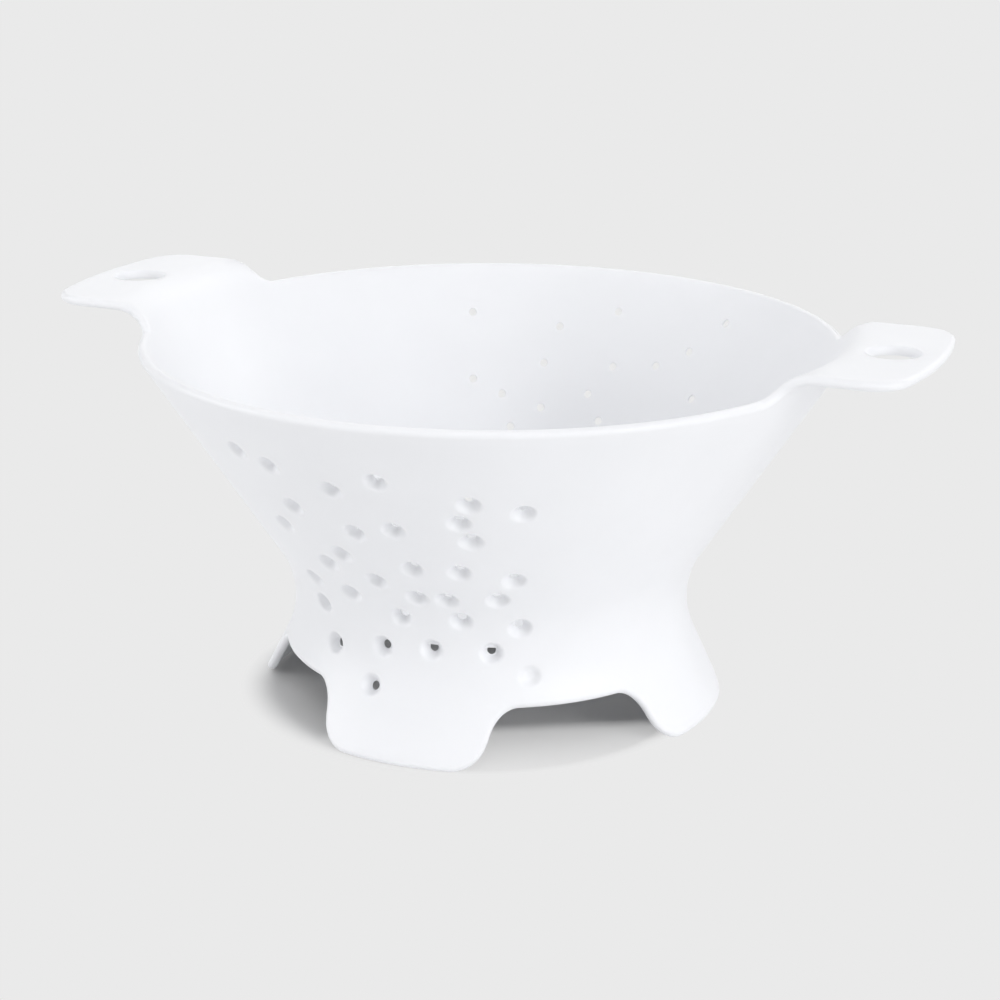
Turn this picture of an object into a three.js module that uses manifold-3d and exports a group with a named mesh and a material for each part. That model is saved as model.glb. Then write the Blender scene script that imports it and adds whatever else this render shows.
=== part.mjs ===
// Moulded kitchen colander. A conical bowl with drain holes at the front and the back stands on a
// flared skirt that is cut into four feet, and two flat tabs with hang holes are its handles.
// It is one plastic moulding, held here as its named regions, each a closed solid.
// Millimetres, +Z up. The origin is on the table, under the bowl's axis. The handles lie along X
// and the front is -Y. Angles are in degrees round from the front, towards +X.

import * as THREE from 'three';
import { mergeVertices } from 'three/addons/utils/BufferGeometryUtils.js';
import Module from 'manifold-3d';

const wasm = await Module();
wasm.setup();

// Wall and bowl
const wallThickness = 3.5;
const rimRadius = 125; // outside edge of the rim
const rimHeight = 132.5; // top of the rim above the table
const waistRadius = 71.7; // narrowest outside radius, between the bowl and the skirt
const waistHeight = 37.5;
const waistCurve = 37.4; // radius of the hollow curve round the waist
const floorTop = 45; // inside bottom of the bowl above the table
const floorThickness = 3;
const floorClearance = 0.3; // gap between the floor's edge and the wall

// Skirt and feet. Widths are measured round the foot circle.
const footRadius = 85; // outside radius of the skirt where it meets the table
const footWidth = 60; // at the table, before the corners are rounded
const footRootWidth = 74.4; // at the top of the arches, before the corners are rounded
const footCorner = 14;
const archHeight = 19.7; // top of the arches between the feet
const archCorner = 12.5;
const footNames = ['foot_front', 'foot_right', 'foot_back', 'foot_left'];

// Handles
const tabWidth = 84;
const tabLength = 37; // reach of a handle past the rim
const tabCorner = 14;
const tabFillet = 5.6; // curve from a handle's side into the rim
const handleNeck = 0.5; // rise of the wall above the rim, along its slope, before the bend
const handleBend = 10.4; // inside radius of the bend from the wall to the flat tab
const hangHoleRadius = 9.3;
const hangHoleInset = 16.7; // from a handle's outer edge to the middle of its hole

// Drain holes: a round pit in the outside of the wall with a small hole through its bottom
const drainHoleRadius = 1.4;
const pitRadius = 4.5;
const pitDepth = 2.2;

// Places of the holes in the bowl: degrees round, and percent of the way up from floor to rim.
// The holes are strewn by eye, so no two stand in a row.
const frontBowlHoles = [
  [-24.5, 76], [-17.5, 73], [-5.5, 67], [4, 74], [19.5, 66], [29, 62],
  [17.5, 57], [-17.5, 54], [4.5, 51], [19.5, 48], [-4.5, 47], [-25, 42],
  [-11, 34], [16.5, 32], [6, 32], [28.5, 28], [-17, 27], [-4.5, 23],
  [25, 18], [5, 17], [12.5, 17], [-28.5, 14], [-15, 13],
  [15.5, 7], [-1, 6], [31, 4], [-30, 2],
];
const backUpperHoles = [
  [-28.5, 84], [-3, 81], [27.5, 78], [9, 73], [-22.5, 70],
  [-15.5, 62], [-5, 59], [11.5, 58], [-29, 53], [28, 51],
  [-0.5, 47], [21, 45], [11, 40], [-5, 37], [18.5, 32],
];
const sharedBelow = 30; // percent; below this the back is strewn as the front is

// Places of the holes in the skirt: degrees round, and percent of the way up from table to floor
const skirtHoles = [[-26, 79], [-8, 89], [7, 93], [23.5, 93], [-10.5, 56]];

// The floor's holes lie on a sunflower spiral, which spreads them evenly.
const floorHoleCount = 24;
const floorHoleMargin = 8; // from the floor's edge to the outermost holes
const sunflowerTurn = Math.PI * (3 - Math.sqrt(5));

// Facets
const roundSegments = 72;
const waistSteps = 4;
const bendSteps = 5;
const cornerSegments = 4; // half as many as a rounded corner has
const hangHoleSegments = 16; // half as many as the hole has
const skirtSteps = 6; // through the skirt's wall, so that slanted sides stay true
const pitSegments = 8;
const weld = 1e-4;

// Values that follow from the sizes above
const footCount = footNames.length;
const curveCentre = waistRadius + waistCurve; // distance of the waist curve's centre from the axis
const upperTangent = tangentAngle(rimRadius, rimHeight, 1);
const lowerTangent = tangentAngle(footRadius, 0, -1);
const floorUnderside = floorTop - floorThickness;
const seamHeight = floorTop - floorThickness / 2; // bowl above, skirt below
const footTop = (footCorner + archHeight - archCorner) / 2; // skirt above, foot below
const cutOver = 5; // how far a cutter runs past what it cuts
const skirtOver = 15; // how far a cutter runs past the skirt's wall, inside and outside
const holeOver = 2 * wallThickness; // depth of a drain hole's cutter below the outside of the wall

// Angle on the waist curve where the straight wall from a point leaves it, above or below the waist
function tangentAngle(radius, height, side) {
  const across = radius - curveCentre;
  const up = height - waistHeight;
  return Math.atan2(side * up, across) * side + side * Math.acos(waistCurve / Math.hypot(across, up));
}

// Height at which the curved waist meets the straight wall, for a surface set in from the outside
function curveEnd(tangent, inset) {
  return waistHeight + (waistCurve + inset) * Math.sin(tangent);
}

// Radius of the wall at a height, for a surface set in from the outside
function wallRadius(height, inset) {
  const curve = waistCurve + inset;
  for (const [tangent, side] of [[upperTangent, 1], [lowerTangent, -1]]) {
    const beyond = height - curveEnd(tangent, inset);
    if (side * beyond > 0) {
      return curveCentre + curve * Math.cos(tangent) - beyond * Math.tan(tangent);
    }
  }
  return curveCentre - Math.sqrt(curve ** 2 - (height - waistHeight) ** 2);
}

// Change of the outside radius for each millimetre of height
function wallSlope(height) {
  const step = 0.01;
  return (wallRadius(height + step, 0) - wallRadius(height - step, 0)) / (2 * step);
}

// One side of the wall's profile from a low level to a high one: straight runs, and steps in the curve
function wallProfile(low, high, inset) {
  const bottom = Math.max(low, curveEnd(lowerTangent, inset));
  const top = Math.min(high, curveEnd(upperTangent, inset));
  const heights = [low];
  for (let step = 0; step <= waistSteps; step += 1) {
    const height = bottom + (top - bottom) * step / waistSteps;
    if (height > low && height < high) {
      heights.push(height);
    }
  }
  heights.push(high);
  return heights.map((height) => new THREE.Vector2(wallRadius(height, inset), height));
}

// Closed solid from a three.js geometry
function solid(geometry) {
  geometry.deleteAttribute('normal');
  geometry.deleteAttribute('uv');
  const merged = mergeVertices(geometry, weld);
  const corners = [];
  for (let i = 0; i < merged.index.count; i += 3) {
    const [a, b, c] = merged.index.array.slice(i, i + 3);
    if (a !== b && b !== c && c !== a) {
      corners.push(a, b, c);
    }
  }
  const vertProperties = Float32Array.from(merged.attributes.position.array);
  const triVerts = Uint32Array.from(corners);
  return new wasm.Manifold(new wasm.Mesh({ numProp: 3, vertProperties, triVerts }));
}

// Solid of revolution about Z from a profile of radius and height
function turned(profile, segments) {
  return solid(new THREE.LatheGeometry(profile, segments).rotateX(Math.PI / 2));
}

// Prism with square edges along +Z from an outline
function prism(outline, depth, settings = {}) {
  const options = { depth, bevelEnabled: false, curveSegments: cornerSegments, ...settings };
  return new THREE.ExtrudeGeometry(outline, options);
}

// Ring of wall between two levels
function wallRing(low, high) {
  const outside = wallProfile(low, high, 0);
  const inside = wallProfile(low, high, wallThickness).reverse();
  return turned([...outside, ...inside, outside[0]], roundSegments);
}

// One drain hole's cutter, standing on the origin with its pit towards +Y
function drainCutter() {
  const flare = (pitRadius - drainHoleRadius) / pitDepth;
  const profile = [
    new THREE.Vector2(0, -holeOver),
    new THREE.Vector2(drainHoleRadius, -holeOver),
    new THREE.Vector2(drainHoleRadius, -pitDepth),
    new THREE.Vector2(pitRadius + flare * pitDepth, pitDepth),
    new THREE.Vector2(0, pitDepth),
  ];
  return new THREE.LatheGeometry(profile, pitSegments);
}

// Cutter for a hole at an angle and a height, square to the wall
function wallCutter(degrees, height) {
  const angle = THREE.MathUtils.degToRad(degrees);
  const radius = wallRadius(height, 0);
  const out = new THREE.Vector3(Math.sin(angle), -Math.cos(angle), -wallSlope(height)).normalize();
  const turn = new THREE.Quaternion().setFromUnitVectors(new THREE.Vector3(0, 1, 0), out);
  const cutter = drainCutter().applyQuaternion(turn);
  return solid(cutter.translate(radius * Math.sin(angle), -radius * Math.cos(angle), height));
}

// Every hole in the wall of the bowl and the skirt
function wallCutters() {
  const backBowlHoles = [...backUpperHoles, ...frontBowlHoles.filter(([, up]) => up < sharedBelow)];
  const cutters = [];
  for (const [start, bowlHoles] of [[0, frontBowlHoles], [180, backBowlHoles]]) {
    for (const [degrees, up] of bowlHoles) {
      cutters.push(wallCutter(start + degrees, floorTop + (rimHeight - floorTop) * up / 100));
    }
    for (const [degrees, up] of skirtHoles) {
      cutters.push(wallCutter(start + degrees, floorUnderside * up / 100));
    }
  }
  return wasm.Manifold.union(cutters);
}

// Floor of the bowl, with the pits of its holes underneath
function bowlFloor() {
  const edge = (height) => wallRadius(height, wallThickness) - floorClearance;
  const plate = turned([
    new THREE.Vector2(0, floorUnderside),
    new THREE.Vector2(edge(floorUnderside), floorUnderside),
    new THREE.Vector2(edge(floorTop), floorTop),
    new THREE.Vector2(0, floorTop),
  ], roundSegments);
  const reach = edge(floorUnderside) - floorHoleMargin;
  const cutters = [];
  for (let i = 0; i < floorHoleCount; i += 1) {
    const radius = reach * Math.sqrt((i + 0.5) / floorHoleCount);
    const angle = i * sunflowerTurn;
    const cutter = drainCutter().rotateX(-Math.PI / 2);
    const [x, y] = [radius * Math.cos(angle), radius * Math.sin(angle)];
    cutters.push(solid(cutter.translate(x, y, floorUnderside)));
  }
  return plate.subtract(wasm.Manifold.union(cutters));
}

// Solid through the skirt's wall from an outline of distance round the foot circle and height
function throughSkirt(outline, degrees) {
  const inner = waistRadius - wallThickness - skirtOver;
  const outer = footRadius + skirtOver;
  const geometry = prism(outline, outer - inner, { steps: skirtSteps });
  const place = geometry.attributes.position;
  for (let i = 0; i < place.count; i += 1) {
    const angle = THREE.MathUtils.degToRad(degrees) + place.getX(i) / footRadius;
    const radius = inner + place.getZ(i);
    place.setXYZ(i, radius * Math.sin(angle), -radius * Math.cos(angle), place.getY(i));
  }
  return solid(geometry);
}

// Outline, mirrored about X = 0, from the corners of its right half, each with a rounding radius
function roundedOutline(rightHalf) {
  const leftHalf = rightHalf.map(([x, y, radius]) => [-x, y, radius]).reverse();
  const corners = [...rightHalf, ...leftHalf];
  const shape = new THREE.Shape();
  corners.forEach(([x, y, radius], i) => {
    const corner = new THREE.Vector2(x, y);
    const before = new THREE.Vector2(...corners.at(i - 1)).sub(corner);
    const after = new THREE.Vector2(...corners[(i + 1) % corners.length]).sub(corner);
    const half = before.angleTo(after) / 2;
    const back = radius / Math.tan(half); // from the corner to where its arc starts
    const start = before.setLength(back).add(corner);
    const end = after.setLength(back).add(corner);
    if (i === 0) {
      shape.moveTo(start.x, start.y);
    } else {
      shape.lineTo(start.x, start.y);
    }
    if (radius > 0) {
      const centre = start.clone().add(end).sub(corner.clone().multiplyScalar(2));
      centre.setLength(radius / Math.sin(half)).add(corner);
      const from = Math.atan2(start.y - centre.y, start.x - centre.x);
      const to = Math.atan2(end.y - centre.y, end.x - centre.x);
      const turn = Math.sin(to - from);
      shape.absarc(centre.x, centre.y, radius, from, to, turn < 0);
    }
  });
  return shape;
}

// Half width of a foot at a height, measured round the foot circle
function footHalfWidth(height) {
  return (footWidth + (footRootWidth - footWidth) * height / archHeight) / 2;
}

// Skirt below the bowl, with an arch between each foot and the next
function baseSkirt(holes) {
  const pitch = 2 * Math.PI * footRadius / footCount;
  const low = footTop - cutOver;
  const arch = roundedOutline([
    [pitch / 2 - footHalfWidth(low), low, 0],
    [pitch / 2 - footHalfWidth(archHeight), archHeight, archCorner],
  ]);
  let skirt = wallRing(footTop, seamHeight);
  for (let i = 0; i < footCount; i += 1) {
    skirt = skirt.subtract(throughSkirt(arch, 360 * (i + 0.5) / footCount));
  }
  return skirt.subtract(holes);
}

// Foot under the skirt, at the front
function foot() {
  const high = footTop + cutOver;
  const outline = roundedOutline([
    [footHalfWidth(0), 0, footCorner],
    [footHalfWidth(high), high, 0],
  ]);
  return wallRing(0, footTop).intersect(throughSkirt(outline, 0));
}

// Handle on the rim, towards +X: the wall bends out to a flat tab with a hole to hang it by
function handle() {
  const slope = wallSlope(rimHeight);
  const lean = Math.atan(slope); // of the wall from the vertical
  const bendStart = rimHeight + handleNeck * Math.cos(lean);
  const topRadius = handleBend + wallThickness;
  const centreHeight = bendStart - handleBend * Math.sin(lean);
  const centreRadius = wallRadius(bendStart, 0) + handleBend * Math.cos(lean);
  const reach = rimRadius + tabLength;
  const bendSide = (radius) => {
    const points = [];
    for (let i = 0; i <= bendSteps; i += 1) {
      const angle = Math.PI - lean + (lean - Math.PI / 2) * i / bendSteps;
      const across = centreRadius + radius * Math.cos(angle);
      points.push(new THREE.Vector2(across, centreHeight + radius * Math.sin(angle)));
    }
    return points;
  };
  const underside = [
    new THREE.Vector2(wallRadius(rimHeight, 0), rimHeight),
    ...bendSide(handleBend),
    new THREE.Vector2(reach, centreHeight + handleBend),
  ];
  const topside = [
    new THREE.Vector2(wallRadius(rimHeight, wallThickness), rimHeight),
    ...bendSide(topRadius),
    new THREE.Vector2(reach, centreHeight + topRadius),
  ].reverse();
  const flange = turned([...underside, ...topside, underside[0]], roundSegments);

  const rise = centreHeight + handleBend - rimHeight; // of the tab's underside above the rim
  const top = centreHeight + topRadius + cutOver;
  const plan = prism(tabPlan(reach), top);
  const front = prism(tabFront(rise, top), reach + cutOver);
  const alongX = new THREE.Matrix4().set(0, 0, 1, 0, 1, 0, 0, 0, 0, 1, 0, 0, 0, 0, 0, 1);
  const circle = new THREE.Shape().absarc(reach - hangHoleInset, 0, hangHoleRadius, 0, 2 * Math.PI);
  const hole = prism(circle, top, { curveSegments: hangHoleSegments });
  const blank = flange.intersect(solid(plan)).intersect(solid(front.applyMatrix4(alongX)));
  return blank.subtract(solid(hole));
}

// Plan of a handle: wide at its root, with rounded corners at its outer end
function tabPlan(reach) {
  const side = tabWidth / 2;
  const wide = side + tabFillet + cutOver;
  const cornerAcross = side - tabCorner;
  const cornerOut = Math.sqrt((reach - tabCorner) ** 2 - cornerAcross ** 2);
  const cornerAngle = Math.atan2(cornerAcross, cornerOut);
  const shape = new THREE.Shape();
  shape.moveTo(0, -wide);
  shape.lineTo(cornerOut, -wide);
  shape.absarc(cornerOut, -cornerAcross, tabCorner, -Math.PI / 2, -cornerAngle, false);
  shape.absarc(0, 0, reach + cutOver, -cornerAngle, cornerAngle, false);
  shape.absarc(cornerOut, cornerAcross, tabCorner, cornerAngle, Math.PI / 2, false);
  shape.lineTo(cornerOut, wide);
  shape.lineTo(0, wide);
  return shape;
}

// A handle seen along X: its sides curve out into the rim below the tab
function tabFront(rise, top) {
  const side = tabWidth / 2;
  const fillet = Math.min(tabFillet, rise);
  const shape = new THREE.Shape();
  shape.moveTo(-side - fillet, rimHeight - cutOver);
  shape.lineTo(side + fillet, rimHeight - cutOver);
  shape.absarc(side + fillet, rimHeight + fillet, fillet, -Math.PI / 2, Math.PI, true);
  shape.lineTo(side, top);
  shape.lineTo(-side, top);
  shape.absarc(-side - fillet, rimHeight + fillet, fillet, 0, -Math.PI / 2, true);
  return shape;
}

// Named mesh of a solid, in white moulded plastic
function moulded(name, body) {
  const { vertProperties, triVerts } = body.getMesh();
  const geometry = new THREE.BufferGeometry();
  geometry.setAttribute('position', new THREE.BufferAttribute(vertProperties, 3));
  geometry.setIndex(new THREE.BufferAttribute(triVerts, 1));
  geometry.computeVertexNormals();
  const plastic = new THREE.MeshStandardMaterial({ color: 0xf4f5f7, roughness: 0.45, metalness: 0 });
  const mesh = new THREE.Mesh(geometry, plastic);
  mesh.name = name;
  return mesh;
}

const colander = new THREE.Group();
colander.name = 'colander';
const holes = wallCutters();
colander.add(moulded('bowl_wall', wallRing(seamHeight, rimHeight).subtract(holes)));
colander.add(moulded('bowl_floor', bowlFloor()));
colander.add(moulded('base_skirt', baseSkirt(holes)));

const footSolid = foot();
footNames.forEach((name, i) => {
  const mesh = moulded(name, footSolid);
  mesh.rotation.z = 2 * Math.PI * i / footCount;
  colander.add(mesh);
});

const handleSolid = handle();
['handle_right', 'handle_left'].forEach((name, i) => {
  const mesh = moulded(name, handleSolid);
  mesh.rotation.z = Math.PI * i;
  colander.add(mesh);
});

export default colander;
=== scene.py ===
# White moulded colander: the seamless shell and its drain floor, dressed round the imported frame
import math
from collections import Counter

import bmesh
import bpy
from mathutils import Matrix, Quaternion, Vector
from mathutils.kdtree import KDTree


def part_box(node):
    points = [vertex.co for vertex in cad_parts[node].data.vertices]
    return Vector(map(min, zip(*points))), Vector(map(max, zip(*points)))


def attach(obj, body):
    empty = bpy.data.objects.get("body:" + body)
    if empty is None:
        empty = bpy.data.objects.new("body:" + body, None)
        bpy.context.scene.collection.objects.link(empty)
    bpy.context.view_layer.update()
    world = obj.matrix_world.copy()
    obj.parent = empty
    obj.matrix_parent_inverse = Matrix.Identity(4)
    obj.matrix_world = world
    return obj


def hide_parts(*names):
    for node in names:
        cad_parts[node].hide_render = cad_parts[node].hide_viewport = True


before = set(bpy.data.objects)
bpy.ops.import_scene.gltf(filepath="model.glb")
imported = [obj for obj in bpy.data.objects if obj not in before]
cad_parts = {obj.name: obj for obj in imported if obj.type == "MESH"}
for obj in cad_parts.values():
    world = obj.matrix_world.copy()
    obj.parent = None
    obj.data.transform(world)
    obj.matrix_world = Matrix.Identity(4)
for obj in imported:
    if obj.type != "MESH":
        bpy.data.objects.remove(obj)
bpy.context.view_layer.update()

mm = 0.001
mergeDistance = 0.002 * mm  # doubles closer than this become one
scene = bpy.context.scene
scene.view_settings.view_transform = "Standard"


def wayTo(azimuth, elevation):
    # direction from the object, round from the front towards +X, and up from the table
    level = math.cos(elevation)
    return Vector((math.sin(azimuth) * level, -math.cos(azimuth) * level, math.sin(elevation)))


# the camera stands off a point on the bowl's axis, then turns a little to frame the tabs
cameraSet = {
    "target": Vector((0, 0, 60 * mm)),
    "distance": 872.3 * mm,
    "azimuth": math.radians(23.417),
    "elevation": math.radians(18.311),
    "panRight": math.radians(0.197),
    "tiltUp": math.radians(0.684),
    "roll": math.radians(0.2),
    "sensor": 36.0,
    "lens": 85.95,
}


def makeCamera(s):
    back = wayTo(s["azimuth"], s["elevation"])
    data = bpy.data.cameras.new("photoCamera")
    data.sensor_width = s["sensor"]
    data.lens = s["lens"]
    camera = bpy.data.objects.new("photoCamera", data)
    camera.location = s["target"] + back * s["distance"]
    camera.rotation_mode = "QUATERNION"
    camera.rotation_quaternion = (
        (-back).to_track_quat("-Z", "Y")
        @ Quaternion((0, 1, 0), -s["panRight"])
        @ Quaternion((1, 0, 0), s["tiltUp"])
        @ Quaternion((0, 0, 1), s["roll"])
    )
    scene.collection.objects.link(camera)
    scene.camera = camera


makeCamera(cameraSet)
print("camera set")

# one sheet of even wall makes the bowl, the skirt with its feet, and the tabs
shell = {
    "name": "moulded_shell",
    "wall": 3.5 * mm,
    "rimRadius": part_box("bowl_wall")[1].x,  # the rounded edges reach as far as the square ones of the frame
    "rimHeight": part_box("bowl_wall")[1].z,
    "waistRadius": 71.7 * mm,
    "waistHeight": 37.5 * mm,
    "waistCurve": 37.4 * mm,  # hollow curve of the outside between bowl and skirt
    "footRadius": -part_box("foot_front")[0].y,
    "footHalf": 30 * mm,  # half a foot's width on the table
    "footRootHalf": 37.2 * mm,  # and at the top of the arches
    "footCorner": 14 * mm,
    "archHeight": 19.7 * mm,
    "archCorner": 12.5 * mm,
    "tabReach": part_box("handle_right")[1].x,
    "tabTop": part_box("handle_right")[1].z,
    "tabHalf": 42 * mm,
    "tabCorner": 14 * mm,
    "tabFillet": 5.6 * mm,
    "tabBend": 10.4 * mm,
    "hangHole": 9.1 * mm,
    "hangRound": 0.7 * mm,
    "hangInset": 16.7 * mm,  # from the tab's end to the middle of its hole
    "hangSegments": 64,
    "hangSpare": 0.8 * mm,  # ring of sheet cleared round the hole before it is joined to a true circle
    "coarseColumn": math.radians(1.75),
    "middleColumn": math.radians(0.9),
    "fineColumn": math.radians(0.55),
    "bowlRows": 42,
    "footRows": 8,
    "tabRows": 18,
    "edgeCuts": 6,  # cuts round the half-round edges
    "smoothAngle": math.radians(42),
}

# drain pits: degrees round from the front, and per cent of the way up from the floor to the rim
pits = {
    "radius": 4.8 * mm,
    "lip": 1.5 * mm,  # rounding of the pit's edge
    "lean": math.radians(55),  # slope of its wall
    "mouth": 1.9 * mm,  # the drain hole where it leaves the pit
    "narrow": 1.5 * mm,  # and at its narrowest
    "segments": 28,
    "rings": 8,
    "spare": 0.8 * mm,
    "bowlFrom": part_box("bowl_floor")[1].z,
    "skirtTop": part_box("bowl_floor")[0].z,
    "frontBowl": (
        (-24.5, 76), (-17.5, 73), (-5.5, 67), (4, 74), (19.5, 66), (29, 62), (17.5, 57), (-17.5, 54),
        (4.5, 51), (19.5, 48), (-4.5, 47), (-25, 42), (-11, 34), (16.5, 32), (6, 32), (28.5, 28),
        (-17, 27), (-4.5, 23), (25, 18), (5, 17), (12.5, 17), (-28.5, 14), (-15, 13), (15.5, 7),
        (-1, 6), (31, 4), (-30, 2),
    ),
    "backUpper": (
        (-28.5, 84), (-3, 81), (27.5, 78), (9, 73), (-22.5, 70), (-15.5, 62), (-5, 59), (11.5, 58),
        (-29, 53), (28, 51), (-0.5, 47), (21, 45), (11, 40), (-5, 37), (18.5, 32),
    ),
    "sharedBelow": 30,  # the front's pits below this also stand on the back
    "skirt": ((-26, 79), (-8, 89), (7, 93), (23.5, 93), (-10.5, 56)),
    "blind": (33.9, 30.6 * mm),  # a shallow dimple with no hole: degrees and height
    "blindDepth": 0.5,  # as a part of a drain pit's depth
}


def wallRuns(s):
    # straight runs and right-hand bends of the wall's middle line, from the table up and out along the tab
    half = s["wall"] / 2
    bend, tabBend = s["waistCurve"] + half, s["tabBend"] + half
    centre = Vector((s["waistRadius"] + s["waistCurve"], s["waistHeight"]))
    foot = Vector((s["footRadius"] - half, half))
    rim = Vector((s["rimRadius"] - half, s["rimHeight"] - half))
    up, down = rim - centre, centre - foot
    footHeading = math.atan2(down.y, down.x) + math.asin(bend / down.length)
    coneHeading = math.atan2(up.y, up.x) - math.asin(bend / up.length)
    waistTurn = footHeading - coneHeading
    tabRise = s["tabTop"] - half - rim.y - tabBend * (1 - math.cos(coneHeading))
    runs = (
        (math.sqrt(down.length_squared - bend ** 2), 0),
        (bend * waistTurn, waistTurn),
        (math.sqrt(up.length_squared - bend ** 2) + tabRise / math.sin(coneHeading), 0),
        (tabBend * coneHeading, coneHeading),
        (s["tabReach"], 0),
    )
    return foot, footHeading, runs


wallStart, wallHeading, wallPath = wallRuns(shell)
halfWall = shell["wall"] / 2


def wallPoint(along):
    # radius, height and heading of the wall's middle line at a distance along it
    (radius, height), heading = wallStart, wallHeading
    for length, turn in wallPath:
        step = min(along, length)
        if turn:
            bend, swing = length / turn, step * turn / length
            radius += bend * (math.sin(heading) - math.sin(heading - swing))
            height += bend * (math.cos(heading - swing) - math.cos(heading))
            heading -= swing
        else:
            radius += step * math.cos(heading)
            height += step * math.sin(heading)
        along -= step
        if along <= 0:
            break
    return radius, height, heading


def wallFrame(angle, along):
    # place on the wall's middle, with the directions up the wall and out of it
    radius, height, heading = wallPoint(along)
    around, up = Vector((math.sin(angle), -math.cos(angle), 0)), Vector((0, 0, 1))
    upward = around * math.cos(heading) + up * math.sin(heading)
    outward = around * math.sin(heading) - up * math.cos(heading)
    return around * radius + up * height, upward, outward


wallLength = sum(length for length, turn in wallPath)
steepLength = sum(length for length, turn in wallPath[:3])  # up to the bend of the tabs


def lastAlong(inside, low=0.0, high=wallLength, halvings=40):
    # furthest distance along the wall at which a test still holds
    for halving in range(halvings):
        middle = (low + high) / 2
        low, high = (middle, high) if inside(middle) else (low, middle)
    return low


def alongAtHeight(height):
    return lastAlong(lambda along: wallPoint(along)[1] < height, high=steepLength)


def outsideAtHeight(height):
    def below(along):
        radius, middle, heading = wallPoint(along)
        return middle - halfWall * math.cos(heading) < height
    return lastAlong(below, high=steepLength)


archAlong = alongAtHeight(shell["archHeight"] + halfWall)
rimAlong = alongAtHeight(shell["rimHeight"] - halfWall)


def footOutline(s):
    # centres of the foot's round corner and of the arch's, on the skirt rolled out flat
    lean = math.atan2(s["footRootHalf"] - s["footHalf"], s["archHeight"])
    cornerAcross = s["footHalf"] + s["footCorner"] * (math.tan(lean) - 1 / math.cos(lean))
    archLow = s["archHeight"] - s["archCorner"]
    archAcross = s["footHalf"] + archLow * math.tan(lean) + s["archCorner"] / math.cos(lean)
    return {
        "lean": lean,
        "corner": (cornerAcross, s["footCorner"]),
        "cornerRadius": s["footCorner"] - halfWall,
        "arch": (archAcross, archLow),
        "archRadius": s["archCorner"] + halfWall,
        "cornerEnd": cornerAcross + (s["footCorner"] - halfWall) * math.cos(lean),
        "archStart": archAcross - (s["archCorner"] + halfWall) * math.cos(lean),
    }


foot = footOutline(shell)


def footEdge(off):
    # height of the sheet's lower edge at an angle off a foot's middle
    across = abs(off) * shell["footRadius"]
    cornerAcross, cornerHigh = foot["corner"]
    archAcross, archLow = foot["arch"]
    if across <= cornerAcross:
        return halfWall
    if across < foot["cornerEnd"]:
        return cornerHigh - math.sqrt(foot["cornerRadius"] ** 2 - (across - cornerAcross) ** 2)
    if across < foot["archStart"]:
        sideLow = cornerHigh - foot["cornerRadius"] * math.sin(foot["lean"])
        return sideLow + (across - foot["cornerEnd"]) / math.tan(foot["lean"])
    if across < archAcross:
        return archLow + math.sqrt(foot["archRadius"] ** 2 - (archAcross - across) ** 2)
    return shell["archHeight"] + halfWall


def tabOutline(s):
    half, reach, corner = s["tabHalf"] - halfWall, s["tabReach"] - halfWall, s["tabCorner"] - halfWall
    across = half - corner
    rimRadius = wallPoint(rimAlong)[0]
    fillet = s["tabFillet"] + halfWall
    out = math.sqrt((reach - corner) ** 2 - across ** 2)
    return {
        "half": half,
        "reach": reach,
        "corner": corner,
        "cornerPlace": Vector((out, across)),
        "fillet": fillet,
        "cornerFrom": math.atan2(across, out),
        "cornerTo": math.atan2(half, out),
        "sideTo": math.asin(half / rimRadius),
        "filletTo": math.asin((half + fillet) / rimRadius),
    }


tab = tabOutline(shell)


def tabEdge(off):
    # distance along the wall to the sheet's outer edge at an angle off a tab's middle
    def inside(along):
        radius = wallPoint(along)[0]
        place = Vector((radius * math.cos(off), radius * math.sin(abs(off))))
        rise = min(along - rimAlong, tab["fillet"])
        spread = tab["fillet"] - math.sqrt(tab["fillet"] ** 2 - (tab["fillet"] - rise) ** 2)
        if radius > tab["reach"] or place.y > tab["half"] + spread:
            return False
        beyond = place - tab["cornerPlace"]
        return beyond.x < 0 or abs(off) < tab["cornerFrom"] or beyond.length < tab["corner"]
    return lastAlong(inside, low=rimAlong)


def columnAngles(s):
    # columns of the rolled-up sheet, closer together where a foot's side or a tab's side crosses them
    footStops = [place / s["footRadius"] for place in
                 (foot["corner"][0], foot["cornerEnd"], foot["archStart"], foot["arch"][0])]
    tabStops = [tab[stop] for stop in ("cornerFrom", "cornerTo", "sideTo", "filletTo")]
    eighth = math.pi / 4
    angles = []
    for quarter in range(1, 5):
        stops = footStops + (tabStops if quarter % 2 else [])
        stops = [0, *sorted(stops), eighth]
        offs = []
        for low, high in zip(stops, stops[1:]):
            middle = (low + high) / 2
            if middle < stops[1] or middle > footStops[-1]:
                step = s["coarseColumn"]
            elif footStops[1] < middle < footStops[2] or (quarter % 2 and middle < tab["filletTo"]):
                step = s["fineColumn"]
            else:
                step = s["middleColumn"]
            count = math.ceil((high - low) / step)
            offs += [low + (high - low) * i / count for i in range(count)]
        axis = quarter * 2 * eighth
        angles += [axis - off for off in reversed([*offs[1:], eighth])] + [axis + off for off in offs]
    return [*angles, angles[0] + 8 * eighth]


def nearestAxis(angle):
    # the quarter turn whose foot or tab an angle belongs to, and how far off it is
    quarter = round(angle / (math.pi / 2))
    return quarter, angle - quarter * math.pi / 2


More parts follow.
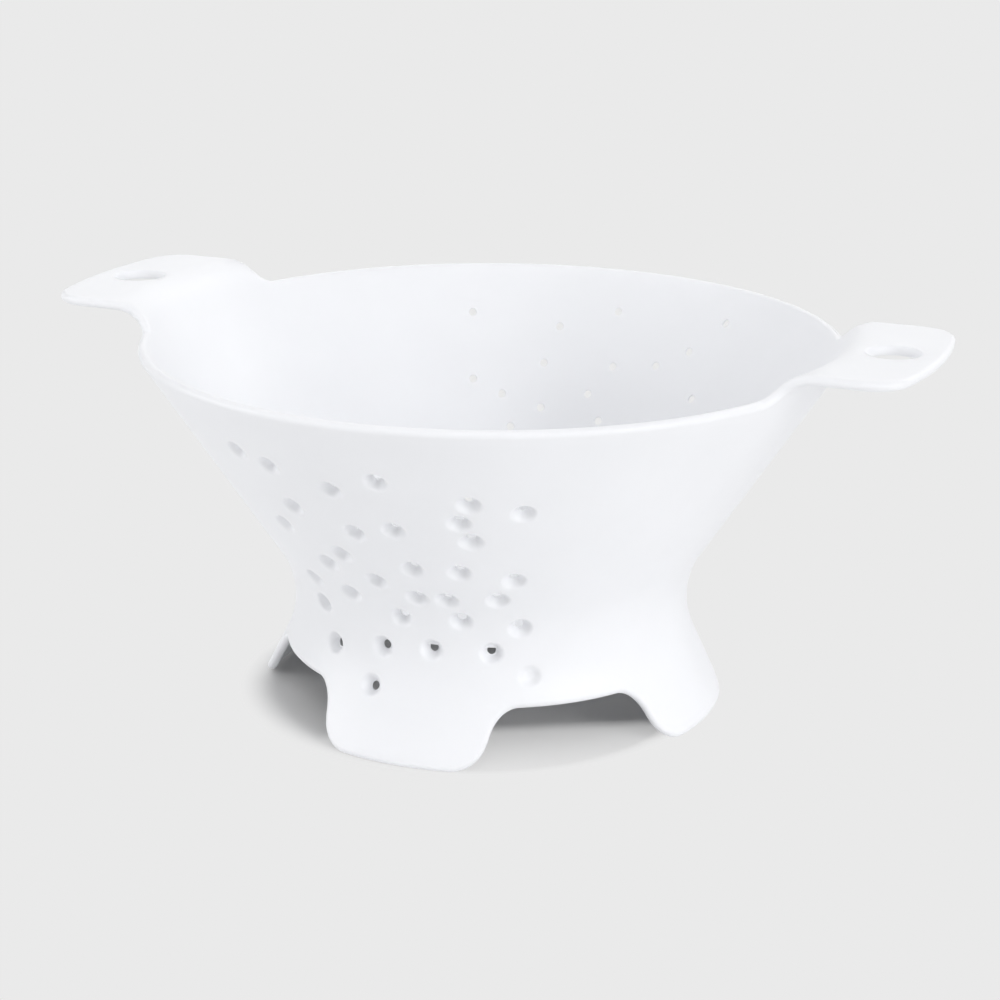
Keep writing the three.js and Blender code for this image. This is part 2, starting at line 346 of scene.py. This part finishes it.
def makeSheet(s):
    bm = bmesh.new()
    keep = {
        "angle": bm.verts.layers.float.new("angle"),
        "along": bm.verts.layers.float.new("along"),
        "side": bm.verts.layers.float.new("side"),
        "sink": bm.verts.layers.float.new("sink"),
        "edgeward": bm.verts.layers.float_vector.new("edgeward"),
    }
    angles = columnAngles(s)
    columns, rows = len(angles) - 1, s["bowlRows"]
    bmesh.ops.create_grid(bm, x_segments=columns, y_segments=rows, size=1)
    for vert in bm.verts:
        column, row = round((vert.co.x + 1) / 2 * columns), round((vert.co.y + 1) / 2 * rows)
        vert[keep["angle"]] = angles[column]
        vert[keep["along"]] = archAlong + (rimAlong - archAlong) * row / rows

    def grow(fromAlong, limit, edgeOf, tabsOnly, steps):
        # draws the sheet's edge out to an outline in several rows
        nearAlong, nearAngle = 0.001 * mm, 1e-5
        rim = [edge for edge in bm.edges if edge.is_boundary]
        for step in range(steps):
            chosen = []
            for edge in rim:
                spots = [nearestAxis(vert[keep["angle"]]) for vert in edge.verts]
                level = step or all(abs(vert[keep["along"]] - fromAlong) < nearAlong for vert in edge.verts)
                if level and all(abs(off) < limit + nearAngle for quarter, off in spots):
                    if not tabsOnly or all(quarter % 2 for quarter, off in spots):
                        chosen.append(edge)
            grown = bmesh.ops.extrude_edge_only(bm, edges=chosen)["geom"]
            for vert in grown:
                if isinstance(vert, bmesh.types.BMVert):
                    off = nearestAxis(vert[keep["angle"]])[1]
                    part = (step + 1) / steps
                    vert[keep["along"]] = fromAlong + (edgeOf(off) - fromAlong) * part
            rim = [edge for edge in grown if isinstance(edge, bmesh.types.BMEdge)]

    footLimit = foot["arch"][0] / s["footRadius"]
    grow(archAlong, footLimit, lambda off: alongAtHeight(footEdge(off)), False, s["footRows"])
    grow(rimAlong, tab["filletTo"], tabEdge, True, s["tabRows"])
    layOut(bm, keep)
    bmesh.ops.remove_doubles(bm, verts=bm.verts[:], dist=mergeDistance)
    return bm, keep


def layOut(bm, keep):
    # puts each vertex on the wall: middle, outside or inside by its side, and round the edges between them
    for vert in bm.verts:
        place, upward, outward = wallFrame(vert[keep["angle"]], vert[keep["along"]])
        side = vert[keep["side"]]
        if side:
            turn = (1 - side) * math.pi / 2
            place += halfWall * (math.cos(turn) * outward + math.sin(turn) * vert[keep["edgeward"]])
            place -= outward * vert[keep["sink"]] * (1 + math.cos(turn)) / 2
        vert.co = place


def clearRound(bm, spots):
    # takes the faces round some centres out of the sheet, and gives back each gap's ragged edges and centres
    verts = bm.verts[:]
    tree = KDTree(len(verts))
    for i, vert in enumerate(verts):
        tree.insert(vert.co, i)
    tree.balance()
    near = {verts[found[1]]: i for i, spot in enumerate(spots) for found in tree.find_range(*spot)}
    while True:
        gone = dict.fromkeys(face for vert in near for face in vert.link_faces)
        ragged = [edge for edge in bm.edges if sum(face in gone for face in edge.link_faces) == 1]
        meeting = Counter(vert for edge in ragged for vert in edge.verts)
        pinched = [vert for vert, edges in meeting.items() if edges > 2]
        if not pinched:
            break
        near.update((vert, None) for vert in pinched)
    gaps, left = [], dict(gone)
    while left:
        gap, front = set(), [left.popitem()[0]]
        while front:
            face = front.pop()
            gap.add(face)
            for beside in (other for vert in face.verts for other in vert.link_faces if other in left):
                del left[beside]
                front.append(beside)
        members = sorted({near.get(vert) for face in gap for vert in face.verts} - {None})
        gaps.append(([edge for edge in ragged if gap.intersection(edge.link_faces)], members))
    bmesh.ops.delete(bm, geom=list(gone), context="FACES")
    return gaps


def joinRings(bm, gaps, loops, outwards):
    for ragged, members in gaps:
        rings = [edge for i in members for edge in loops[i]]
        bmesh.ops.triangle_fill(bm, use_beauty=True, edges=ragged + rings, normal=outwards[members[0]])


def loopOf(ring):
    return list(dict.fromkeys(edge for vert in ring for edge in vert.link_edges))


def cutHangHoles(bm, keep, s):
    radius = s["hangHole"] + s["hangRound"]
    out = s["tabReach"] - s["hangInset"]
    centres = [Vector((side * out, 0, s["tabTop"] - halfWall)) for side in (1, -1)]
    gaps = clearRound(bm, [(centre, radius + s["hangSpare"]) for centre in centres])
    loops = []
    for centre in centres:
        ring = bmesh.ops.create_circle(bm, segments=s["hangSegments"], radius=radius,
                                       matrix=Matrix.Translation(centre))["verts"]
        for vert in ring:
            vert[keep["angle"]] = math.atan2(vert.co.x, -vert.co.y) % (2 * math.pi)
            away = math.hypot(vert.co.x, vert.co.y)
            vert[keep["along"]] = lastAlong(lambda along: wallPoint(along)[0] < away, low=rimAlong)
            vert[keep["edgeward"]] = (centre - vert.co).normalized() * s["hangRound"] / halfWall
        loops.append(loopOf(ring))
    joinRings(bm, gaps, loops, [Vector((0, 0, -1))] * 2)


def thicken(bm, keep, s):
    bmesh.ops.recalc_face_normals(bm, faces=bm.faces[:])
    for vert in bm.verts:
        vert[keep["side"]] = 1
        if not vert.is_boundary or vert[keep["edgeward"]].length:
            continue  # inside the sheet, or round a hole that has set its own way
        # the way off the sheet at this edge: up past the rim and the tabs, down past the feet and the arches
        ends = [edge.other_vert(vert).co for edge in vert.link_edges if edge.is_boundary]
        place, upward, outward = wallFrame(vert[keep["angle"]], vert[keep["along"]])
        edgeward = outward.cross(ends[1] - ends[0]).normalized()
        rising = vert[keep["along"]] > (archAlong + rimAlong) / 2
        vert[keep["edgeward"]] = edgeward if (edgeward.dot(upward) > 0) == rising else -edgeward
    made = bmesh.ops.extrude_face_region(bm, geom=bm.faces[:], use_keep_orig=True)["geom"]
    inner = {vert for vert in made if isinstance(vert, bmesh.types.BMVert)}
    for vert in inner:
        vert[keep["side"]] = -1
    rungs = [edge for edge in bm.edges if (edge.verts[0] in inner) != (edge.verts[1] in inner)]
    bmesh.ops.subdivide_edges(bm, edges=rungs, cuts=s["edgeCuts"])
    layOut(bm, keep)
    bmesh.ops.recalc_face_normals(bm, faces=bm.faces[:])


def pitPlaces(p, s):
    # angle, distance along the wall and depth of every pit
    spots = []
    depth = s["rimHeight"] - p["bowlFrom"]
    shared = [spot for spot in p["frontBowl"] if spot[1] < p["sharedBelow"]]
    for start, rows, low, span in (
        (360, p["frontBowl"], p["bowlFrom"], depth),
        (180, [*p["backUpper"], *shared], p["bowlFrom"], depth),
        (360, p["skirt"], 0, p["skirtTop"]),
        (180, p["skirt"], 0, p["skirtTop"]),
    ):
        for degrees, part in rows:
            spots.append((math.radians(start + degrees), outsideAtHeight(low + span * part / 100), 1))
    degrees, height = p["blind"]
    blind = (math.radians(360 + degrees), outsideAtHeight(height), p["blindDepth"])
    return spots, blind


def pitDepth(out, p):
    # the lip turns down from the wall's outside, then the cone goes on to the drain hole
    inward, turn = p["radius"] - out, p["lip"] * math.sin(p["lean"])
    if inward < turn:
        return p["lip"] - math.sqrt(p["lip"] ** 2 - inward ** 2)
    return p["lip"] * (1 - math.cos(p["lean"])) + (inward - turn) * math.tan(p["lean"])


def sinkPits(bm, keep, p, spots):
    # sets rings of faces into the sheet for each pit, down to the edge of its drain hole
    outs = [p["radius"] + (p["mouth"] - p["radius"]) * i / p["rings"] for i in range(p["rings"] + 1)]

    def lay(vert, spot, turn, out):
        angle, along, depth = spot
        rise = along + out * math.cos(turn)
        vert[keep["along"]] = rise
        vert[keep["angle"]] = angle + out * math.sin(turn) / wallPoint(rise)[0]
        vert[keep["sink"]] = depth * pitDepth(out, p)
        vert.co = wallFrame(vert[keep["angle"]], rise)[0]

    frames = [wallFrame(angle, along) for angle, along, depth in spots]
    gaps = clearRound(bm, [(place, p["radius"] + p["spare"]) for place, upward, outward in frames])
    loops = []
    for spot in spots:
        ring = bmesh.ops.create_circle(bm, segments=p["segments"], radius=1)["verts"]
        for vert in ring:
            lay(vert, spot, math.atan2(vert.co.y, vert.co.x), outs[0])
        loops.append(loopOf(ring))
    joinRings(bm, gaps, loops, [outward for place, upward, outward in frames])
    for spot, loop, (centre, upward, outward) in zip(spots, loops, frames):
        angle, along, depth = spot
        for out in outs[1:]:
            grown = bmesh.ops.extrude_edge_only(bm, edges=loop)["geom"]
            ring = [part for part in grown if isinstance(part, bmesh.types.BMVert)]
            loop = [part for part in grown if isinstance(part, bmesh.types.BMEdge)
                    and all(vert in ring for vert in part.verts)]
            for vert in ring:
                across = (vert[keep["angle"]] - angle) * wallPoint(vert[keep["along"]])[0]
                lay(vert, spot, math.atan2(across, vert[keep["along"]] - along), out)
        if depth < 1:
            bmesh.ops.edgeloop_fill(bm, edges=loop)
            continue
        for vert in ring:
            vert[keep["edgeward"]] = (centre - vert.co).normalized() * (p["mouth"] - p["narrow"]) / halfWall


def finishPiece(bm, name, smoothAngle):
    mesh = bpy.data.meshes.new(name)
    bm.to_mesh(mesh)
    bm.free()
    piece = bpy.data.objects.new(name, mesh)
    scene.collection.objects.link(piece)
    mesh.shade_smooth()
    mesh.set_sharp_from_angle(angle=smoothAngle)
    return piece


def drillBar(rings, segments):
    # a round bar that widens ring by ring, as radius and height
    bm = bmesh.new()
    radius, height = rings[0]
    bmesh.ops.create_circle(bm, cap_ends=True, segments=segments, radius=radius,
                            matrix=Matrix.Translation((0, 0, height)))
    cap = bm.faces[:]
    for wide, high in rings[1:]:
        grown = bmesh.ops.extrude_face_region(bm, geom=cap)["geom"]
        verts = [part for part in grown if isinstance(part, bmesh.types.BMVert)]
        bmesh.ops.scale(bm, vec=(wide / radius, wide / radius, 1), verts=verts)
        bmesh.ops.translate(bm, vec=(0, 0, high - height), verts=verts)
        if len(bm.faces) > segments + 2:
            bmesh.ops.delete(bm, geom=cap, context="FACES_ONLY")  # the cap left between two rings
        cap = [part for part in grown if isinstance(part, bmesh.types.BMFace)]
        radius, height = wide, high
    bmesh.ops.recalc_face_normals(bm, faces=bm.faces[:])
    mesh = bpy.data.meshes.new("drillBar")
    bm.to_mesh(mesh)
    bm.free()
    return mesh


def drill(piece, bar, places):
    # cuts a copy of the bar out of the piece at each place
    bm = bmesh.new()
    for place in places:
        start = len(bm.verts)
        bm.from_mesh(bar)
        bm.verts.ensure_lookup_table()
        bmesh.ops.transform(bm, matrix=place, verts=bm.verts[start:])
    cutter = finishPiece(bm, piece.name + "_drill", 0)
    cut = piece.modifiers.new("drainHoles", "BOOLEAN")
    cut.operation = "DIFFERENCE"
    cut.object = cutter
    cut.solver = "MANIFOLD"
    ready = piece.evaluated_get(bpy.context.evaluated_depsgraph_get())
    drilled = bpy.data.meshes.new_from_object(ready)
    piece.modifiers.clear()
    whole = piece.data
    piece.data = drilled
    bpy.data.meshes.remove(whole)
    bpy.data.objects.remove(cutter)
    drilled.name = piece.name


def makeShell(s, p):
    bm, keep = makeSheet(s)
    cutHangHoles(bm, keep, s)
    spots, blind = pitPlaces(p, s)
    sinkPits(bm, keep, p, [*spots, blind])
    thicken(bm, keep, s)
    print("shell volume", round(bm.calc_volume(signed=True) * 1e6, 2), "ml")
    piece = finishPiece(bm, s["name"], s["smoothAngle"])
    for layer in keep:
        piece.data.attributes.remove(piece.data.attributes[layer])
    piece.data.calc_loop_triangles()
    print("shell", len(piece.data.loop_triangles), "triangles with", len(spots), "drain holes")
    return piece


shellPiece = makeShell(shell, pits)
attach(shellPiece, "root")
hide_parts("bowl_wall", "base_skirt", "foot_front", "foot_right", "foot_back", "foot_left",
            "handle_right", "handle_left")

# the drain floor inside the waist, with a small fillet up the wall and holes strewn as in a sunflower
drainFloor = {
    "name": "drain_floor",
    "top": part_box("bowl_floor")[1].z,
    "under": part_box("bowl_floor")[0].z,
    "fillet": 1.6 * mm,
    "filletSteps": 4,
    "intoWall": 1.0 * mm,
    "segments": 120,
    "holes": 24,
    "edgeMargin": 8 * mm,
    "pitDepth": 2.2 * mm,
    "lipReach": 0.4 * mm,  # rounding of a pit's edge, outwards and inwards
    "lipIn": 0.6 * mm,
    "lipDeep": 0.3 * mm,
    "bottomWide": 0.8 * mm,  # and of its bottom round the drain hole
    "bottomDeep": 0.6 * mm,
    "holeEdge": 0.1 * mm,
    "past": 0.5 * mm,  # how far the cut starts outside the floor
    "goldenTurn": math.pi * (3 - math.sqrt(5)),
    "level": 0.999,  # faces more level than this, as the rise of their normal, are shaded flat
}


def makeDrainFloor(s, p):
    bm = bmesh.new()

    def insideRadius(height):
        radius, middle, heading = wallPoint(alongAtHeight(height))
        return radius - halfWall

    top, under, fillet = s["top"], s["under"], s["fillet"]
    edge = insideRadius((top + under) / 2)
    steps = s["filletSteps"]
    quarter = [i * math.pi / 2 / steps for i in range(steps + 1)]
    curve = [(edge - fillet * (1 - math.sin(turn)), fillet * (1 - math.cos(turn))) for turn in quarter]
    line = [(0, top), *((radius, top + rise) for radius, rise in curve)]
    line += [(edge + s["intoWall"], top + fillet), (edge + s["intoWall"], under - fillet)]
    line += [*((radius, under - rise) for radius, rise in reversed(curve)), (0, under)]
    verts = [bm.verts.new((radius, 0, height)) for radius, height in line]
    edges = [bm.edges.new(pair) for pair in zip(verts, verts[1:])]
    bmesh.ops.spin(bm, geom=verts + edges, axis=(0, 0, 1), cent=(0, 0, 0), angle=2 * math.pi,
                   steps=s["segments"], use_merge=True)
    bmesh.ops.remove_doubles(bm, verts=bm.verts[:], dist=mergeDistance)
    bmesh.ops.recalc_face_normals(bm, faces=bm.faces[:])
    piece = finishPiece(bm, s["name"], shell["smoothAngle"])
    bar = drillBar((
        (p["radius"], -s["past"]),
        (p["radius"] - s["lipReach"], 0),
        (p["radius"] - s["lipReach"] - s["lipIn"], s["lipDeep"]),
        (p["mouth"] + s["bottomWide"], s["pitDepth"] - s["bottomDeep"]),
        (p["mouth"], s["pitDepth"] - s["holeEdge"]),
        (p["narrow"], s["pitDepth"] + s["holeEdge"]),
        (p["narrow"], top - under + 2 * s["past"]),
    ), p["segments"])
    reach = edge - s["edgeMargin"]
    places = []
    for i in range(s["holes"]):
        out, turn = reach * math.sqrt((i + 0.5) / s["holes"]), i * s["goldenTurn"]
        places.append(Matrix.Translation((out * math.cos(turn), out * math.sin(turn), under)))
    drill(piece, bar, places)
    piece.data.set_sharp_from_angle(angle=shell["smoothAngle"])
    for face in piece.data.polygons:
        face.use_smooth = abs(face.normal.z) < s["level"]
    print("drain floor", len(piece.data.polygons), "faces")
    return piece


floorPiece = makeDrainFloor(drainFloor, pits)
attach(floorPiece, "root")
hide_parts("bowl_floor")


def linear(hexColour):
    # sRGB hex to the linear values that the shaders take
    parts = [int(hexColour[i:i + 2], 16) / 255 for i in (1, 3, 5)]
    return (*[part / 12.92 if part <= 0.04045 else ((part + 0.055) / 1.055) ** 2.4 for part in parts], 1.0)


mixA, mixB = 6, 7  # colour sockets of a Mix node


def addNode(tree, kind, settings=None, values=None, links=None):
    # one node with its settings, its socket values and the sockets that feed it
    node = tree.nodes.new(kind)
    for name, value in (settings or {}).items():
        setattr(node, name, value)
    for name, value in (values or {}).items():
        node.inputs[name].default_value = value
    for name, source in (links or {}).items():
        tree.links.new(source, node.inputs[name])
    return node


# polypropylene, injection moulded in a spark-eroded tool: a cool white with a soft satin sheen, and a grain
# that only shows close to. The grain is drawn a little coarser than the real one so that it shows
plastic = {
    "name": "polypropylene_moulded_satin",
    "pale": "#eeeff2",
    "shade": "#eaebee",
    "ior": 1.49,
    "roughLow": 0.40,
    "roughHigh": 0.50,
    "grain": 0.55 * mm,
    "grainDepth": 0.012 * mm,
    "flow": 28 * mm,
}


def makePlastic(s):
    material = bpy.data.materials.new(s["name"])
    material.use_nodes = True
    tree = material.node_tree
    shader = tree.nodes["Principled BSDF"]
    place = addNode(tree, "ShaderNodeTexCoord").outputs["Object"]
    flow = addNode(tree, "ShaderNodeTexNoise", values={"Scale": 1 / s["flow"], "Detail": 3.0},
                   links={"Vector": place})
    grain = addNode(tree, "ShaderNodeTexNoise", values={"Scale": 1 / s["grain"], "Detail": 2.0},
                    links={"Vector": place})
    tint = addNode(tree, "ShaderNodeMix", {"data_type": "RGBA"},
                   {mixA: linear(s["pale"]), mixB: linear(s["shade"])}, {"Factor": flow.outputs["Fac"]})
    rough = addNode(tree, "ShaderNodeMapRange", values={"To Min": s["roughLow"], "To Max": s["roughHigh"]},
                    links={"Value": flow.outputs["Fac"]})
    bump = addNode(tree, "ShaderNodeBump", values={"Distance": s["grainDepth"], "Strength": 1.0},
                   links={"Height": grain.outputs["Fac"]})
    shader.inputs["IOR"].default_value = s["ior"]
    tree.links.new(tint.outputs[2], shader.inputs["Base Color"])
    tree.links.new(rough.outputs["Result"], shader.inputs["Roughness"])
    tree.links.new(bump.outputs["Normal"], shader.inputs["Normal"])
    return material


plasticMaterial = makePlastic(plastic)
for piece in (shellPiece, floorPiece):
    piece.data.materials.clear()
    piece.data.materials.append(plasticMaterial)
print("plastic on the pieces")

# pale studio floor that runs past the picture's edges, and soft lamps all round the table
studio = {
    "floorSize": 12.0,
    "floorLitWithPaintedShade": "#d6d6d6",  # round the feet, where it shows its own light and shade; it is darker than the plain floor, so it also paints shade on the floor round and under the feet
    "floorPlain": "#eaeaea",  # further out, as seen
    "floorBounce": "#fcfcfc",
    "shadowMiddle": (-6 * mm, 0, 0),
    "shadedTo": 73 * mm,  # from the shadow's middle
    "plainFrom": 88 * mm,
    # painted light: along one way, the floor under the front-right arch is blended towards the plain colour,
    # as if a lamp shone in under it
    "paintedLightWay": (0.5, -0.866, 0),  # to the side of a pool of light painted on the floor under the front arch
    "paintedLightFrom": 41 * mm,  # along it: where the painted light starts, is mostly there, and ends in the plain floor
    "paintedLightMost": 49 * mm,
    "paintedLightTo": 100 * mm,
    "paintedLightShare": 0.45,
    "fill": 0.23,  # even light from all round
    "lampAngle": math.radians(36),
    "lampAway": 2.0,
    # degrees to the right of the camera, degrees above the table, and strength
    "lamps": {
        "right": (45, 32, 0.75),
        "rightLow": (45, 8, 0.87),
        "rightBehind": (135, 32, 0.65),
        "behind": (180, 32, 0.31),
        "leftBehindHigh": (225, 60, 0.43),
        "left": (270, 32, 0.2),
        "leftLow": (270, 8, 1.17),
        "frontHigh": (0, 60, 0.78),
        "frontLow": (0, 8, 0.21),
    },
}


def addSeen(tree):
    # 1 where a ray comes from the camera, a shine or a clear piece, so that all three see the same background
    path = addNode(tree, "ShaderNodeLightPath").outputs
    either = addNode(tree, "ShaderNodeMath", {"operation": "MAXIMUM"},
                     links={0: path["Is Camera Ray"], 1: path["Is Glossy Ray"]})
    seen = addNode(tree, "ShaderNodeMath", {"operation": "MAXIMUM"},
                   links={0: either.outputs[0], 1: path["Is Transmission Ray"]})
    return seen.outputs[0]


def makeStudio(s):
    bm = bmesh.new()
    bmesh.ops.create_grid(bm, x_segments=1, y_segments=1, size=s["floorSize"] / 2)
    mesh = bpy.data.meshes.new("studioFloor")
    bm.to_mesh(mesh)
    bm.free()
    ground = bpy.data.objects.new("studioFloor", mesh)
    scene.collection.objects.link(ground)

    paper = bpy.data.materials.new("studio_paper")
    paper.use_nodes = True
    tree = paper.node_tree
    tree.nodes.clear()
    seen = addSeen(tree)
    # the camera sees the darker near colour, which paints shade on the floor round the feet; other rays see
    # the bounce colour
    colour = addNode(tree, "ShaderNodeMix", {"data_type": "RGBA"},
                     {mixA: linear(s["floorBounce"]), mixB: linear(s["floorLitWithPaintedShade"])}, {"Factor": seen})
    matte = addNode(tree, "ShaderNodeBsdfDiffuse", links={"Color": colour.outputs[2]})
    plain = addNode(tree, "ShaderNodeEmission", values={"Color": linear(s["floorPlain"]), "Strength": 1.0})
    place = addNode(tree, "ShaderNodeTexCoord").outputs["Object"]
    away = addNode(tree, "ShaderNodeVectorMath", {"operation": "DISTANCE"},
                   {1: s["shadowMiddle"]}, {0: place})
    fade = addNode(tree, "ShaderNodeMapRange", {"interpolation_type": "SMOOTHSTEP"},
                   {"From Min": s["shadedTo"], "From Max": s["plainFrom"]}, {"Value": away.outputs["Value"]})
    # a painted pool of light: along one way, the floor under the arch blends towards the plain colour
    along = addNode(tree, "ShaderNodeVectorMath", {"operation": "DOT_PRODUCT"},
                    {1: s["paintedLightWay"]}, {0: place})
    share, parts = s["paintedLightShare"], []
    for low, high, most in (("paintedLightFrom", "paintedLightMost", share), ("paintedLightMost", "paintedLightTo", 1 - share)):
        part = addNode(tree, "ShaderNodeMapRange", links={"Value": along.outputs["Value"]},
                       values={"From Min": s[low], "From Max": s[high], "To Max": most})
        parts.append(part.outputs["Result"])
    front = addNode(tree, "ShaderNodeMath", {"operation": "ADD"}, links={0: parts[0], 1: parts[1]})
    plainOrPaintedLight = addNode(tree, "ShaderNodeMath", {"operation": "MAXIMUM"},
                     links={0: fade.outputs["Result"], 1: front.outputs[0]})
    flat = addNode(tree, "ShaderNodeMath", {"operation": "MULTIPLY"}, links={0: plainOrPaintedLight.outputs[0], 1: seen})
    mixed = addNode(tree, "ShaderNodeMixShader",
                    links={"Fac": flat.outputs[0], 1: matte.outputs["BSDF"], 2: plain.outputs["Emission"]})
    addNode(tree, "ShaderNodeOutputMaterial", links={"Surface": mixed.outputs["Shader"]})
    ground.data.materials.append(paper)

    world = bpy.data.worlds.new("studioWorld")
    world.use_nodes = True
    tree = world.node_tree
    tree.nodes.clear()
    fill = addNode(tree, "ShaderNodeBackground", values={"Color": (1, 1, 1, 1), "Strength": s["fill"]})
    backdrop = addNode(tree, "ShaderNodeBackground",
                       values={"Color": linear(s["floorPlain"]), "Strength": 1.0})
    mixed = addNode(tree, "ShaderNodeMixShader", links={
        "Fac": addSeen(tree), 1: fill.outputs["Background"], 2: backdrop.outputs["Background"]})
    addNode(tree, "ShaderNodeOutputWorld", links={"Surface": mixed.outputs["Shader"]})
    scene.world = world

    for name, (turn, rise, strength) in s["lamps"].items():
        lamp = bpy.data.lights.new(name, "SUN")
        lamp.energy = strength
        lamp.angle = s["lampAngle"]
        holder = bpy.data.objects.new(name, lamp)
        towards = wayTo(cameraSet["azimuth"] + math.radians(turn), math.radians(rise))
        holder.rotation_mode = "QUATERNION"
        holder.rotation_quaternion = towards.to_track_quat("Z", "Y")
        holder.location = towards * s["lampAway"]
        scene.collection.objects.link(holder)


makeStudio(studio)
print("studio lit")
